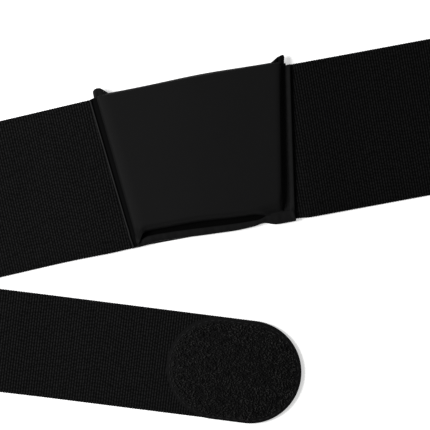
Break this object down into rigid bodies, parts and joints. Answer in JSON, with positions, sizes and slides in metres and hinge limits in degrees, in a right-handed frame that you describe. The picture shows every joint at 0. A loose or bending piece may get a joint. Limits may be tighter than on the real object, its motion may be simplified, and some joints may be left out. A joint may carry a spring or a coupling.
{
  "type": "money belt",
  "caption": "Flat elastic waist belt with a wrapped trapezoid pocket, a narrower folded strap ending in a round hook pad, and a loop landing pad.",
  "frame": {"origin": "middle of the pocket's back face, on the surface that the belt lies on", "axes": "+X along the wide band towards its loop pad end, +Y towards the pocket's closed top edge, +Z out of the front face"},
  "size_m": [0.5584, 0.1766, 0.01],
  "materials": {
    "elastic": "matte black ribbed woven elastic, ribs across the width at 1.28 mm pitch",
    "laminate": "smooth matte black stretch laminate with a very fine knit face",
    "edge_tape": "folded laminate edge, slightly shiny",
    "hook_tape": "black woven nylon tape",
    "hooks": "black nylon hooks, satin",
    "loop_pile": "black nylon loop pile, fuzzy",
    "thread": "black twisted polyester thread"
  },
  "bodies": {
    "front": {"wide_band": "elastic", "pocket_back": "laminate", "pocket_lining": "laminate", "pocket_front": "laminate", "top_roll": "laminate", "mouth_lip": "laminate", "left_flange": "laminate", "left_edge_fold": "edge_tape", "right_flange": "laminate", "right_welt": "laminate", "left_stitches": "thread", "right_stitches": "thread", "end_stitches": "thread", "loop_tape": "hook_tape", "loop_pile": "loop_pile", "loop_stitches": "thread", "taper_bindings": "edge_tape", "strap_root": "elastic", "join_stitches": "thread", "tail_fold": "elastic"},
    "mouth": {"mouth_hem": "laminate"},
    "tail": {"tail_strap": "elastic"},
    "tip": {"tail_tip": "elastic", "hook_tape": "hook_tape", "hooks": "hooks", "hook_stitches": "thread"}
  },
  "joints": [
    {"name": "fold_open", "type": "hinge", "parent": "front", "child": "tail", "pos_m": [-0.30174, -0.01252, 0.0034], "axis": [-0.1314, -0.9913, 0], "range_deg": [0, 180], "deforming": ["tail_fold"]},
    {"name": "tip_peel", "type": "hinge", "parent": "tail", "child": "tip", "pos_m": [-0.05557, -0.09108, 0.0018], "axis": [-0.304, -0.9527, 0], "range_deg": [0, 110]},
    {"name": "mouth_lift", "type": "hinge", "parent": "front", "child": "mouth", "pos_m": [0, -0.022, 0.01], "axis": [-1, 0, 0], "range_deg": [0, 35], "stiffness_Nm_per_rad": 0.002}
  ]
}
